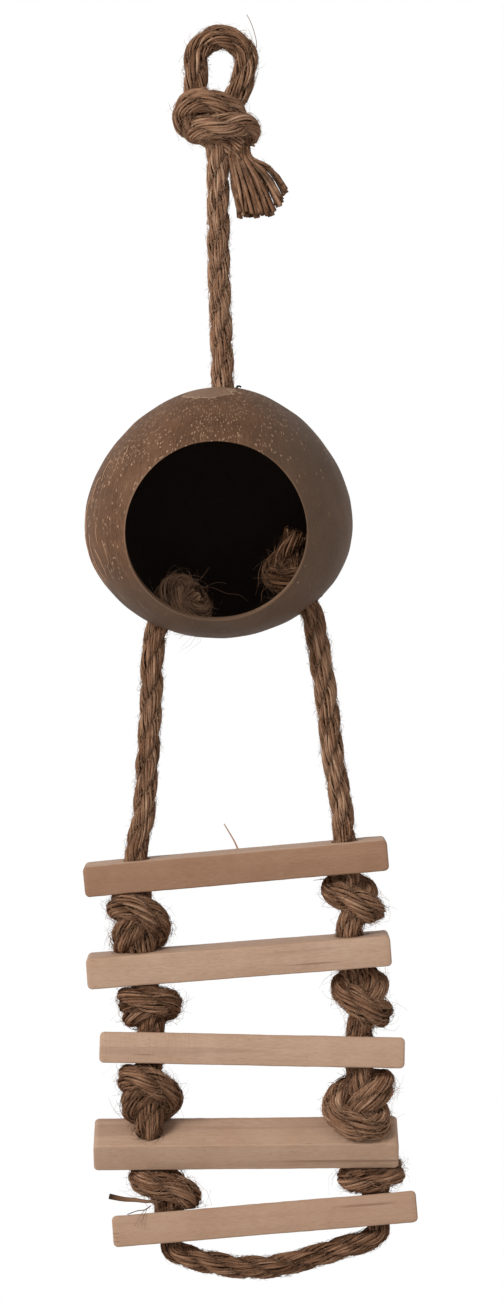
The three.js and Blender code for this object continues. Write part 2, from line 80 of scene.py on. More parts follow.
class Paint:
    """A value in a material. Sums and products of these add Math nodes to it."""

    def __init__(self, tree, socket=None):
        self.tree, self.socket = tree, socket

    def node(self, kind, settings=None, sockets=None, out=0):
        """Any other shader node: its settings first, then the values or links of its sockets."""
        made = self.tree.nodes.new("ShaderNode" + kind)
        for key, value in (settings or {}).items():
            setattr(made, key, value)
        for key, value in (sockets or {}).items():
            if isinstance(value, Paint):
                self.tree.links.new(value.socket, made.inputs[key])
            else:
                made.inputs[key].default_value = value
        if isinstance(out, tuple):
            return tuple(Paint(self.tree, made.outputs[name]) for name in out)
        return Paint(self.tree, made.outputs[out] if made.outputs else None)

    def math(self, operation, *values):
        return self.node("Math", {"operation": operation}, dict(enumerate(values)))

    def __add__(self, other):
        return self.math("ADD", self, other)

    def __sub__(self, other):
        return self.math("SUBTRACT", self, other)

    def __rsub__(self, other):
        return self.math("SUBTRACT", other, self)

    def __mul__(self, other):
        return self.math("MULTIPLY", self, other)

    def __truediv__(self, other):
        return self.math("DIVIDE", self, other)

    __radd__ = __add__
    __rmul__ = __mul__

    def between(self, low, high):
        """0 below low, 1 above high, and a smooth step from one to the other."""
        ends = {"Value": self, "From Min": low, "From Max": high}
        return self.node("MapRange", {"interpolation_type": "SMOOTHSTEP"}, ends)

    def vector(self, operation, *values, out="Vector"):
        return self.node("VectorMath", {"operation": operation}, dict(enumerate(values)), out)

    def attribute(self, name, out="Fac"):
        return self.node("Attribute", {"attribute_name": name}, out=out)

    def most(self, value, *others):
        for other in others:
            value = self.math("MAXIMUM", value, other)
        return value

    def ramp(self, share, *stops):
        """The colour at a share of a row of stops, which are places and colours."""
        made = self.node("ValToRGB", {}, {"Fac": share})
        row = made.socket.node.color_ramp.elements
        row[0].position, row[1].position = stops[0][0], stops[-1][0]
        row[0].color, row[1].color = (*stops[0][1], 1), (*stops[-1][1], 1)
        for place, colour in stops[1:-1]:
            row.new(place).color = (*colour, 1)
        return made

    def off(self, place, middle, half):
        """The way from the middle of a patch, as a share of the patch's half sizes."""
        share = self.vector("DIVIDE", self.vector("SUBTRACT", place, middle), half)
        return self.vector("LENGTH", share, out="Value")

    def cloud(self, vector, scale, detail=3, roughness=0.55):
        sockets = {"Vector": vector, "Scale": scale, "Detail": detail, "Roughness": roughness}
        return self.node("TexNoise", {}, sockets)

    def spots(self, vector, scale, dimensions="3D"):
        """Spots at random places: the way to the nearest one, and a random number of its own."""
        sockets, outs = {"Vector": vector, "Scale": scale}, ("Distance", "Color")
        off, colour = self.node("TexVoronoi", {"voronoi_dimensions": dimensions}, sockets, outs)
        return off, self.node("SeparateColor", {}, {"Color": colour}, "Red")

    def mix(self, first, second, share, how="MIX"):
        colours = {"Factor": share, 6: first, 7: second}
        return self.node("Mix", {"data_type": "RGBA", "blend_type": how}, colours, out=2)

    def point(self, x, y, z):
        return self.node("CombineXYZ", {}, {"X": x, "Y": y, "Z": z})

    def surface(self, colour, roughness, height, depth, gloss=0.5):
        """Ends the material: a rough surface with a relief of a given depth."""
        relief = self.node("Bump", {}, {"Height": height, "Strength": 1, "Distance": depth})
        sockets = {"Base Color": colour, "Roughness": roughness, "Normal": relief}
        shader = self.node("BsdfPrincipled", {}, {**sockets, "Specular IOR Level": gloss})
        self.node("OutputMaterial", {}, {"Surface": shader})


def new_finish(name, group=bpy.data.materials):
    """An empty material or world, and the paint for it."""
    finish = group.new(name)
    finish.use_nodes = True
    finish.node_tree.nodes.clear()
    return finish, Paint(finish.node_tree)


door_way = Vector((0, -math.cos(DOOR_TILT), -math.sin(DOOR_TILT)))
door_axis = SHELL_MIDDLE + Vector((0, 0, DOOR_RISE))

scraped, paint = new_finish("scraped_coconut")
place = paint.node("TexCoord", out="Object")
middled = paint.vector("SUBTRACT", place, SHELL_MIDDLE)
x, y, z = paint.node("SeparateXYZ", {}, {0: middled}, out=("X", "Y", "Z"))
ring = paint.math("SQRT", x * x + y * y)
# Millimetres round the nut from its front, and down from its crown
around = paint.math("ARCTAN2", x, 0 - y) * (SHELL_HALF / MM)
fall = paint.math("ARCTAN2", ring, z) * (SHELL_HALF / MM)
stain = paint.cloud(place, 34, 5, 0.6)
patches = paint.cloud(place, 85, 4, 0.6)
blown = around + (patches - 0.5) * 9
scratch = paint.cloud(paint.point(blown / 0.9, fall / 13, 0), 1, 4, 0.62)
fine_scratch = paint.cloud(paint.point(around / 0.35, fall / 5, 4), 1, 3, 0.6)
pits = paint.cloud(place, 900, 3, 0.6)
# Sanded smooth and greyer on the right and below, scraped and warmer on the left and on top
crown = 1 - fall.between(25, 75)
rightward = x / MM + (patches - 0.5) * 9
sanded_right = (rightward + fall * 0.1).between(12, 45)
sanded_below = (fall + rightward * 0.25).between(100, 128)
sanded = paint.most(sanded_right, sanded_below)
# Painted shade: the crown's colour is darkened a little
shade = stain * 0.5 + scratch * 0.42 + fine_scratch * 0.34 + pits * 0.2 - 0.2 - crown * 0.03
bark = paint.ramp(shade, (0.3, (0.036, 0.0165, 0.0085)), (0.45, (0.092, 0.044, 0.0225)),
                  (0.58, (0.146, 0.072, 0.038)), (0.76, (0.25, 0.138, 0.079)))
smoothed = paint.mix((0.085, 0.052, 0.033, 1), (0.15, 0.096, 0.064, 1), stain * 0.8 + pits * 0.35 - 0.1)
smoothed = paint.mix(smoothed, (0.07, 0.042, 0.027, 1), fall.between(105, 135) * 0.35)
bark = paint.mix(bark, smoothed, sanded * 0.72)
# Pale ends of fibres: dashes that point to the crown, specks, fine streaks, and long hairs at the far left
thick = (patches - 0.5) * 1.4 - fall.between(50, 95) * 0.3 + 0.08 - sanded * 0.3
dash_off, dash = paint.spots(paint.point(blown / 1.5, fall / 3.4, 0), 1, "2D")
dashes = (1 - dash_off.between(0.14, 0.28)) * (dash + thick).between(0.58, 0.7) * (0.2 + dash * 0.75)
speck_off, speck = paint.spots(place, 430)
specks = (1 - speck_off.between(0.12, 0.25)) * (speck + thick).between(0.7, 0.77) * (0.15 + speck * 0.8)
streaks = (scratch + patches * 0.2 - sanded * 0.1).between(0.71, 0.86) * 0.7
scuffs = paint.cloud(paint.point(around / 2.5, fall / 3.5, 9), 1, 2, 0.6)
scuffs = scuffs.between(0.66, 0.74) * sanded * pits * 0.7
hairs = paint.cloud(paint.point(blown / 0.55, fall / 26, 33), 1, 1.5, 0.5)
hairs = hairs.between(0.64, 0.7) * (around * -1).between(40, 62) * (around + 130).between(0, 30) * 0.8
pale = paint.most(dashes, specks, streaks, scuffs, hairs)
marked = paint.mix(bark, (0.46, 0.29, 0.18, 1), pale * 0.85)
# Rubbed bare beside the hanging rope, with a pale torn edge
bare = 1 - paint.off(middled, BARE_MIDDLE, BARE_HALF) + (paint.cloud(place, 210, 3, 0.6) - 0.5) * 1.9
worn = scratch * 0.9 + fine_scratch * 0.7 + pits * 0.5 - 0.35
marked = paint.mix(marked, (0.27, 0.165, 0.104, 1), bare.between(0, 0.06) * worn)
torn = bare.between(0, 0.05) * (1 - bare.between(0.08, 0.22))
marked = paint.mix(marked, (0.46, 0.32, 0.205, 1), torn * (0.4 + pits * 0.7))
# Painted highlight: a lighter line just outside the rim of the door. The wall inside is dark brown, and
# painted shade darkens it further
from_door = paint.vector("CROSS_PRODUCT", paint.vector("SUBTRACT", place, door_axis), door_way)
from_door = paint.vector("LENGTH", from_door, out="Value")
front = (y * -1).between(5 * MM, 15 * MM)
edge = (1 - from_door.between(DOOR_HALF + 0.2 * MM, DOOR_HALF + 0.9 * MM)) * front
edge = edge * (1 - z.between(12 * MM, 34 * MM) * 0.8)
marked = paint.mix(marked, (0.23, 0.135, 0.082, 1), edge * (0.3 + stain * 0.6))
# Inside faces: dark brown shell, made darker still as painted shade
shell_colour = paint.mix(marked, (0.034, 0.022, 0.017, 1), paint.attribute("inner"))
relief = (scratch * 0.5 + fine_scratch * 0.25 + pits * 0.3 + pale * 0.3) * (1 - sanded * 0.6)
paint.surface(shell_colour, 0.52 + scratch * 0.25, relief, 0.5 * MM, 0.14)


def bore(piece, at, along, half, length=DRILL_LENGTH, sides=40):
    """Drills a hole through a piece."""
    turn = Vector(along).to_track_quat("Z", "Y").to_euler()
    bpy.ops.mesh.primitive_cylinder_add(vertices=sides, radius=half, depth=length, location=at, rotation=turn)
    drill = bpy.context.object
    cut = piece.modifiers.new("cut", "BOOLEAN")
    cut.object, cut.solver = drill, "EXACT"
    bpy.context.view_layer.objects.active = piece
    bpy.ops.object.modifier_apply(modifier=cut.name)
    bpy.data.objects.remove(drill)


def put_down(piece, name, finish):
    """Gives a finished piece its name, material and smooth faces, with its place in its mesh."""
    bpy.ops.object.select_all(action="DESELECT")
    piece.select_set(True)
    bpy.context.view_layer.objects.active = piece
    bpy.ops.object.transform_apply()
    bpy.ops.object.shade_smooth_by_angle(angle=CREASE)
    piece.name = piece.data.name = name
    piece.data.materials.clear()
    piece.data.materials.append(finish)


def hole_mouth(hole):
    """Where a ladder hole comes out of the shell, and the way straight out of the wall there."""
    across, back = hole
    down = -SHELL_BASE * math.sqrt(1 - (across ** 2 + back ** 2) / SHELL_HALF ** 2)
    out = Vector((across / SHELL_HALF ** 2, back / SHELL_HALF ** 2, down / SHELL_BASE ** 2)).normalized()
    return SHELL_MIDDLE + Vector((across, back, down)), out


def shell_point(way):
    """The point of the shell's outside that lies in a given direction from its middle."""
    across, back, up = way
    ring_share = math.hypot(across, back)
    power = 2 / CROWN_POWER if up > 0 else 1
    flare = ring_share ** (power - 1) if ring_share > 1e-4 else 0
    lobe = 1 + SHELL_LOBE / SHELL_HALF * math.cos(3 * math.atan2(back, across) + 0.5)
    swell = 1 + SHELL_BUMP / SHELL_HALF * (noise.noise(way * 2.6) + 0.5 * noise.noise(way * 7))
    height = math.copysign(abs(up) ** power, up) * (SHELL_CROWN if up > 0 else SHELL_BASE)
    reach = SHELL_HALF * flare * lobe * swell
    lean = CROWN_LEAN * max(0, height / SHELL_CROWN) ** 2
    return SHELL_MIDDLE + Vector((across * reach + lean, back * reach, height * swell))


bpy.ops.mesh.primitive_uv_sphere_add(segments=SHELL_FACETS, ring_count=SHELL_FACETS // 2)
shell = bpy.context.object
for vertex in shell.data.vertices:
    vertex.co = shell_point(vertex.co.copy())
wall = shell.modifiers.new("wall", "SOLIDIFY")
wall.thickness, wall.offset = SHELL_WALL, -1
bpy.ops.object.modifier_apply(modifier=wall.name)
bore(shell, door_axis + door_way * HOLE_SAW_MIDDLE, door_way, DOOR_HALF, HOLE_SAW_LENGTH, DOOR_FACETS)
bore(shell, SHELL_MIDDLE + Vector((HANGING_HOLE, 0, SHELL_CROWN)), (0, 0, 1), ROPE_HOLE_HALF)
for hole in LADDER_HOLES.values():
    mouth, out = hole_mouth(hole)
    bore(shell, mouth, out, ROPE_HOLE_HALF, 4 * SHELL_WALL)
marks = shell.data.attributes.new("inner", "FLOAT", "FACE").data
for face, mark in zip(shell.data.polygons, marks):
    away = face.center - SHELL_MIDDLE
    sawn_edge = away.y < 0 and (face.center - door_axis).cross(door_way).length < DOOR_HALF + 0.02 * MM
    mark.value = face.normal.dot(away) < -10 * MM and not sawn_edge
put_down(shell, "scraped_shell", scraped)
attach(shell, "house")
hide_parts("coconut_shell")

# Hanging rope: a 10 mm jute rope, three strands of twenty yarns laid to the right, hairy all over. Its
# straight drop runs from the knot under the eye through the hole in the crown.
ROPE = 10 * MM
LAY = 45 * MM
YARN_LAY = -26 * MM
ROPE_STEP = 1.3 * MM
STRANDS = 3
YARNS = 20
# Half a strand's width, and the ring on which the strands lie, as shares of half the rope's width
STRAND_HALF = 0.69
STRAND_RING = 0.38
# The yarns' ring and half width, and half the core's width, as shares of half the strand's width
YARN_RING = 0.83
YARN_HALF = 0.155
CORE_HALF = 0.76
HAIRS_PER_MM = 19
HAIR_HALF = 0.1 * MM
LYING_HAIRS = 0.55
# Sides of the tubes, and the places of the two finishes in each mesh
YARN_SIDES, HAIR_SIDES = 4, 3
YARN_FINISH, HAIR_FINISH = 0, 1
# How far the pattern shifts from one tube to the next
TUBE_SHIFT = 0.37
# A way that no rope runs along
ASKEW = (0.3, 1, 0.2)
SPAN_POINTS = 24
# Half the length of a bend at a joint
BEND = 3.4 * MM
DROP_ROUTE = (
    (-2, 0.6, -37), (-0.9, 0.2, -46.5), (-0.6, 0, -70), (-0.3, 0.2, -100), (0.7, 0, -128),
    (1.4, 0, -148), (1.5, 0, -164),
)

jute, paint = new_finish("jute_yarn")
fibres = paint.cloud(paint.vector("MULTIPLY", paint.node("UVMap"), (300, 11, 1)), 1, 4, 0.7)
soiled = paint.cloud(paint.node("TexCoord", out="Object"), 55, 3, 0.5)
shade = paint.attribute("tone") * 0.42 + fibres * 0.75 + soiled * 0.3 - 0.24
spun = paint.ramp(shade, (0.2, (0.07, 0.031, 0.014)), (0.45, (0.24, 0.122, 0.068)),
                  (0.62, (0.37, 0.205, 0.122)), (0.85, (0.58, 0.37, 0.24)))
# Painted shade: the yarns that lie deep between the strands are darkened
painted_groove_shade = paint.attribute("depth").between(0.62, 1.04) * 0.75 + 0.25
paint.surface(paint.mix(spun, painted_groove_shade, 1, "MULTIPLY"), 0.95, fibres, 0.5 * MM, 0.05)

jute_hair, paint = new_finish("jute_hair")
tone = paint.attribute("tone")
spun = paint.ramp(tone, (0, (0.014, 0.008, 0.006)), (0.12, (0.12, 0.06, 0.031)),
                  (0.55, (0.36, 0.205, 0.125)), (1, (0.64, 0.395, 0.255)))
paint.surface(spun, 0.85, tone, 0.01 * MM, 0.08)

scene = bpy.context.scene


def in_mm(points):
    return [Vector(point) * MM for point in points]


def strides(line):
    """How far it is from each point of a line to the next."""
    return np.linalg.norm(np.diff(line, axis=-2), axis=-1)


def smooth(points, step):
    """Evenly spaced points on a smooth line through a few given ones."""
    points = np.array(points, float)
    ends = np.vstack([2 * points[0] - points[1], points, 2 * points[-1] - points[-2]])
    knots = np.concatenate([[0], np.cumsum(strides(ends) ** 0.5)])
    spans = []
    for i in range(1, len(ends) - 2):
        (a, b, c, d), (ta, tb, tc, td) = ends[i - 1:i + 3], knots[i - 1:i + 3]
        t = np.linspace(tb, tc, SPAN_POINTS, endpoint=False)[:, None]
        ab, bc = a + (b - a) * (t - ta) / (tb - ta), b + (c - b) * (t - tb) / (tc - tb)
        cd = c + (d - c) * (t - tc) / (td - tc)
        abc, bcd = ab + (bc - ab) * (t - ta) / (tc - ta), bc + (cd - bc) * (t - tb) / (td - tb)
        spans.append(abc + (bcd - abc) * (t - tb) / (tc - tb))
    line = np.vstack([*spans, points[-1:]])
    run = np.concatenate([[0], np.cumsum(strides(line))])
    even = np.linspace(0, run[-1], max(3, round(run[-1] / step) + 1))
    return np.column_stack([np.interp(even, run, line[:, i]) for i in range(3)])


def unit(vectors):
    return vectors / np.linalg.norm(vectors, axis=-1, keepdims=True)


def spoke(angle, side, back):
    """The way out of a rope at an angle round it."""
    return np.cos(angle)[..., None] * side + np.sin(angle)[..., None] * back


def carried(line):
    """The way along a line at each point, and two ways across it that turn as little as they can."""
    along = unit(np.gradient(line, axis=0))
    side = np.empty_like(line)
    last = np.cross(along[0], ASKEW)
    for i, way in enumerate(along):
        last = last - way * (last @ way)
        side[i] = last = last / np.linalg.norm(last)
    return along, side, np.cross(along, side)


def drift(rng, rows, count, size, every=7):
    """Slow random change along each of several rows."""
    coarse = rng.normal(0, size, (rows, count // every + 3))
    fine = np.linspace(0, coarse.shape[1] - 1, count)
    return np.array([np.interp(fine, np.arange(coarse.shape[1]), row) for row in coarse])


def twine_mesh(name, bundles):
    """One mesh of closed tubes. A bundle has paths, radii, ways out, tones, depths, sides and a finish."""
    lists = points, corners, starts, finishes, tones, depths, places = [[] for _ in range(7)]
    first = loops = 0
    for paths, radii, out, tone, depth, sides, finish in bundles:
        tubes, rings = paths.shape[:2]
        along = unit(np.gradient(paths, axis=1))
        across = unit(np.cross(along, out))
        up = np.cross(across, along)
        angle = np.linspace(0, math.tau, sides, endpoint=False)
        spokes = spoke(angle, up[:, :, None], across[:, :, None])
        points.append((paths[:, :, None] + radii[:, :, None, None] * spokes).reshape(-1, 3))
        for layer, value in ((tones, tone), (depths, depth)):
            layer.append(np.repeat(np.broadcast_to(value, (tubes, rings)).ravel(), sides))
        index = first + np.arange(tubes * rings * sides).reshape(tubes, rings, sides)
        turned = np.roll(index, -1, axis=2)
        quads = np.stack([index[:, :-1], turned[:, :-1], turned[:, 1:], index[:, 1:]], axis=-1).reshape(-1, 4)
        caps = np.concatenate([index[:, 0, ::-1], index[:, -1]])
        corners += [quads.ravel(), caps.ravel()]
        starts += [loops + 4 * np.arange(len(quads)), loops + quads.size + sides * np.arange(len(caps))]
        finishes.append(np.full(len(quads) + len(caps), finish))
        run = np.pad(np.cumsum(strides(paths), axis=1), ((0, 0), (1, 0)))
        run = (run + TUBE_SHIFT * np.arange(tubes)[:, None])[:, :, None]
        here, after, one = run[:, :-1], run[:, 1:], np.arange(sides) / sides
        two = one + 1 / sides
        around = [np.stack(np.broadcast_arrays(*corner), -1)
                  for corner in ((here, one), (here, two), (after, two), (after, one))]
        places += [np.stack(around, axis=3).reshape(-1, 2), np.zeros((caps.size, 2))]
        first += index.size
        loops += quads.size + caps.size
    mesh = bpy.data.meshes.new(name)
    points, corners, starts, finishes, tones, depths, places = map(np.concatenate, lists)
    mesh.vertices.add(len(points))
    mesh.loops.add(len(corners))
    mesh.polygons.add(len(starts))
    mesh.vertices.foreach_set("co", points.astype(np.float32).ravel())
    mesh.loops.foreach_set("vertex_index", corners.astype(np.int32))
    mesh.polygons.foreach_set("loop_start", starts.astype(np.int32))
    mesh.polygons.foreach_set("material_index", finishes.astype(np.int32))
    for label, values in (("tone", tones), ("depth", depths)):
        layer = mesh.attributes.new(label, "FLOAT", "POINT")
        layer.data.foreach_set("value", values.astype(np.float32))
    layer = mesh.uv_layers.new(name="UVMap")
    layer.uv.foreach_set("vector", places.astype(np.float32).ravel())
    mesh.update(calc_edges=True)
    mesh.polygons.foreach_set("use_smooth", np.ones(len(starts), bool))
    mesh.materials.append(jute)
    mesh.materials.append(jute_hair)
    piece = bpy.data.objects.new(name, mesh)
    scene.collection.objects.link(piece)
    return piece


def hair_bundle(rng, line, frames, half, count, reach, longest):
    """Loose hairs of a rope: some lie on it and follow it, the others stand up."""
    along, side, back = frames
    margin = min(6, len(line) // 4)
    at = rng.integers(margin, len(line) - margin, count)
    angle = rng.uniform(0, math.tau, count)[:, None]
    out = spoke(angle[:, 0], side[at], back[at])
    length = np.minimum(rng.exponential(0.3, count) * longest + 0.8 * MM, longest)[:, None]
    lean = (rng.choice([-1, 1], count) * rng.uniform(0.3, 1, count))[:, None]
    swing, curl = rng.normal(0, 0.5, (2, count, 1))
    lying = rng.random((count, 1)) < LYING_HAIRS
    share = np.linspace(0, 1, 4)
    stride = np.linalg.norm(line[1] - line[0])
    spot = np.clip(at[:, None] + length * lean * share / stride, 0, len(line) - 1.01)
    low, part = spot.astype(int), (spot % 1)[..., None]
    followed = line[low] * (1 - part) + line[low + 1] * part
    straight = line[at][:, None] + along[at][:, None] * (length * lean * share)[..., None]
    core = np.where(lying[..., None], followed, straight)
    turned = angle + length / half * (swing * share + curl * share ** 2)
    arm = spoke(turned, side[low], back[low])
    rise = np.minimum(length * rng.uniform(0.1, 0.75, (count, 1)), reach) * np.where(lying, 0.12, 1)
    root = half * np.where(lying, 1.02, rng.uniform(0.85, 0.98, (count, 1)))
    paths = core + arm * (root + rise * share * (1.6 - 0.6 * share))[..., None]
    radii = HAIR_HALF * (1 - 0.65 * share) * rng.uniform(0.55, 1.1, (count, 1))
    tone = np.broadcast_to(rng.beta(2, 2.2, (count, 1)), radii.shape)
    return at, paths, radii, np.broadcast_to(out[:, None], paths.shape), tone


def lay_rope(names, points, seed, diameter=ROPE, parts=(), tint=0, fray=0,
             hairs=1, reach=2 * MM, longest=5 * MM):
    """Jute rope along a route, in one piece or cut into parts. Its tint is a number, or one for each end.
    Returns the pieces and their centrelines."""
    rng = np.random.default_rng(seed)
    line = smooth(points, ROPE_STEP)
    frames = along, side, back = carried(line)
    count, half = len(line), diameter / 2
    run = np.arange(count) * strides(line).mean()
    strand_half = STRAND_HALF * half
    paths, radii, tones = [], [], []
    for strand in range(STRANDS):
        turn = math.tau * (run / LAY + strand / STRANDS + 0.1 * seed) + drift(rng, 1, count, 0.05)[0]
        centre = line + STRAND_RING * half * spoke(turn, side, back)
        angle = math.tau * (np.arange(YARNS)[:, None] / YARNS + run / YARN_LAY)
        angle = angle + turn + drift(rng, YARNS, count, 0.13)
        ring = strand_half * (YARN_RING + drift(rng, YARNS, count, 0.045))[..., None]
        thick = YARN_HALF + drift(rng, YARNS, count, 0.025)
        shade = 0.5 + rng.normal(0, 0.22, (YARNS, 1)) + drift(rng, YARNS, count, 0.16, 4)
        paths += [centre + ring * spoke(angle, side, back), centre[None]]
        radii += [strand_half * thick, np.full((1, count), CORE_HALF * strand_half)]
        tones += [shade, np.full((1, count), 0.3)]
    paths, radii, tones = map(np.concatenate, (paths, radii, tones))
    # How deep each yarn lies, which sets its painted shade in the grooves
    depths = np.linalg.norm(paths - line, axis=2) / half + 0.1
    tint = np.interp(run / run[-1], (0, 1), np.broadcast_to(tint, 2))
    tones += tint
    out = unit(paths - line + 1e-7)
    if fray:
        loose = np.clip((run - run[-1]) / (3 * fray) + 1, 0, 1)[:, None] ** 1.5 * fray
        slip = rng.uniform(-0.8, 1, (len(paths), 1, 1))
        paths += loose * (slip * along + 0.4 * (paths - line) / half)
    hair_count = int(run[-1] / MM * HAIRS_PER_MM * hairs)
    at, *hair, hair_tone = hair_bundle(rng, line, frames, half, hair_count, reach, longest)
    hair = *hair, np.clip(hair_tone + tint[at][:, None], 0.05, 1)
    ends = [0, *[round(part * (count - 1)) for part in parts], count - 1]
    pieces = []
    for name, low, high in zip(names, ends, ends[1:]):
        rings = slice(low, high + 1)
        mine = (at >= low) & ((at < high) | (high == count - 1))
        yarns = *(values[:, rings] for values in (paths, radii, out, tones, depths)), YARN_SIDES, YARN_FINISH
        loose = *(values[mine] for values in hair), 1.0, HAIR_SIDES, HAIR_FINISH
        pieces.append((twine_mesh(name, (yarns, loose)), line[rings]))
    return pieces


def declare(piece, line, with_pieces=()):
    """Lists every third point of a piece's centreline and its last point, and keeps nothing."""
    line[::3].tolist() + [line[-1].tolist()]


def hinge(piece, pivot, way, reach=BEND):
    """Bakes the piece's place into its mesh."""
    way = Vector(way).normalized() * reach
    pivot - way
    pivot + way
    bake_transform(piece)


(drop_top, top_line), (drop_foot, foot_line) = lay_rope(
    ("drop_top", "drop_foot"), in_mm(DROP_ROUTE), 3, parts=(0.5,), tint=0.28, hairs=1.3, reach=2.7 * MM)
joints = {row["name"]: Vector(row["pos_m"]) for row in frame["joints"]}
hinge(drop_top, joints["hanger_swing"], (0, 0, -1))
hinge(drop_foot, joints["house_tilt"], (0, 0, -1))
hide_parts("hanging_rope")
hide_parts("hanging_rope")

# Hanging eye: the rope's end is turned up into a small eye and wound twice round its own two legs in a tight
# knot. The eye hangs on a hook at the origin, and the knot carries the whole house.
EYE_ROPE = 10.9 * MM
EYE_ROUTE = (
    (-2.5, 1.5, -41), (-6, 2, -32), (-9.8, 0.8, -24), (-10.7, 0, -15), (-10.9, 0, -8), (-10.2, 0, -2.5),
    (-7.2, 0, 2.2), (-2.6, 0, 4.9), (2.6, 0, 5), (7.6, 0, 3), (11.2, 0, -1), (12.2, 0, -6.5), (10.8, 0, -14),
    (7.8, 0.3, -20.8), (5, 1.5, -26.5), (0, 4, -32.5), (-7, 4.5, -36.5), (-12.5, 1.5, -37),
    (-15.2, -2.5, -33.5), (-15.8, -5, -29.5), (-13, -7.8, -26.2), (-8.7, -9, -24.8), (-2.5, -9.2, -25.6),
    (3, -8, -27.6), (7, -4, -30), (5, 2, -34), (-4, 3, -37.5), (-9.8, -1, -37.6), (-7.6, -6.5, -36.6),
    (-2, -8.8, -36.4), (4, -9.2, -36.2), (9.8, -7.5, -35), (13.2, -3.5, -36), (13, 2.5, -38.5),
    (8.5, 7, -38), (0, 8.8, -34.5), (-8, 7.8, -31.5), (-11.5, 3.5, -32), (-4, 0.5, -39.5), (4, 0, -41.5),
    (9, -0.5, -46),
)
(eye, _), (eye_knot, _) = lay_rope(
    ("hanging_eye", "eye_knot"), in_mm(EYE_ROUTE), 5, diameter=EYE_ROPE, parts=(0.35,), tint=(-0.14, 0.38),
    fray=4 * MM, reach=3.2 * MM, longest=6 * MM)
for piece, node in ((eye, "hanging_loop"), (eye_knot, "hanging_knot")):
    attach(piece, "hanger")
    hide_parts(node)

# Frayed tail: the cut end of the hanging rope below the knot. Its yarns have untwisted and spread like a
# brush, longest at the left.
TAIL_YARN = 1.5 * MM
TAIL_YARNS = 64
TAIL_SIDES = 6
TAIL_HAIRS = 44
# How far the yarns hang down and sweep to the right, in millimetres, and the turn from one to the next
TAIL_LENGTH = 32.5
TAIL_SWEEP = 22.5
TAIL_TURN = 2.4
tail_top = Vector((9, -0.6, -43.5)) * MM
rng = np.random.default_rng(11)
tail_paths = []
for i in range(TAIL_YARNS):
    share = (i + rng.uniform(0.2, 0.8)) / TAIL_YARNS
    wave = math.sin(i * TAIL_TURN)
    spot = Vector((5.4 * (share * 2 - 1), 3.8 * wave, 0)) * MM
    sweep = TAIL_SWEEP * share ** 1.2 - 0.5
    fallen = TAIL_LENGTH - 4 * max(0, share - 0.5) - 10.5 * max(0, share - 0.76) / 0.24 + rng.normal(0, 0.7)
    across, behind = sweep + rng.normal(0, 0.6), 6 * wave + rng.normal(0, 0.8)
    tip = tail_top + Vector((across, behind, -fallen)) * MM
    start = tail_top + spot * 0.8 + Vector((0, 0, 3)) * MM
    neck = tail_top + spot * 0.85 + Vector((0.04 * sweep, 0, -6)) * MM
    belly = neck.lerp(tip, 0.5) + Vector((rng.normal(0, 0.7), rng.normal(0, 0.7), 0.12 * sweep)) * MM
    tail_paths.append(smooth([start, neck, belly, tip], 1 * MM))
rings = max(len(path) for path in tail_paths)
tail_paths = np.array([path[np.linspace(0, len(path) - 1, rings).round().astype(int)] for path in tail_paths])
# Rounding repeats some points, and a few microns keep them apart
tail_paths[:, 1:-1] += 1e-6 * np.arange(1, rings - 1)[:, None]
tail_radii = TAIL_YARN / 2 * (1 + drift(rng, TAIL_YARNS, rings, 0.12, 5)) * np.linspace(1, 1.15, rings)
tail_tones = 0.5 + rng.normal(0, 0.22, (TAIL_YARNS, 1)) + drift(rng, TAIL_YARNS, rings, 0.1)
tail_out = unit(np.cross(np.gradient(tail_paths, axis=1), (0.2, 1, 0.1)))
tail_depths = 0.9 + drift(rng, TAIL_YARNS, rings, 0.1)
tail_hairs = [hair_bundle(rng, path, carried(path), TAIL_YARN / 2, TAIL_HAIRS, 1.2 * MM, 6 * MM)
              for path in tail_paths]
_, *tail_hairs = map(np.concatenate, zip(*tail_hairs))
tail = twine_mesh("frayed_end", (
    (tail_paths, tail_radii, tail_out, tail_tones, tail_depths, TAIL_SIDES, YARN_FINISH),
    (*tail_hairs, 1.0, HAIR_SIDES, HAIR_FINISH),
))
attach(tail, "hanger")
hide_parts("frayed_tail")

# Knots: each is an overhand knot in the same rope. The rope comes down, turns behind itself, crosses the
# front, goes round the back, dives through its own turn, and is then pulled tight. The first one stops the
# hanging rope under the crown of the shell.
KNOT_ROPE = 12.1 * MM
# The loose knot before it is pulled, in rope widths
LOOSE_KNOT = (
    (0, 0, 7), (-0.3, 0, 4), (-0.6, 0.15, 1.3), (-0.65, 0.2, 0), (-0.5, 0.15, -1.15), (0, 0.8, -1.5),
    (1, 0.8, -1.25), (1.5, -0.2, -0.8), (0.95, -1.25, -0.3), (0, -1.5, 0.15), (-1.1, -1.1, 0.65),
    (-1.45, 0.15, 0.95), (-0.7, 1.25, 0.85), (0.5, 1.25, 1), (1.1, 0.35, 1.4), (0.7, -0.3, 0.7),
    (0.65, -0.3, -0.15), (0.5, -0.2, -1), (0.2, 0, -4), (0, 0, -7),
)
# The pulls at a loose knot's ends, the stretch at which they wait, and how its turns bend and push each other
PULLS = 3500
PULL = 0.01
STRETCH = 1.06
STIFFNESS = 0.06
CLOSEST_TURN = 1.75
PUSH = 0.25
STOPPER_SIZE = Vector((27, 27, 17)) * MM
STOPPER_ROUTE = ((1.5, 0, -156), (1.5, 0, -168), (1.5, 0, -178))


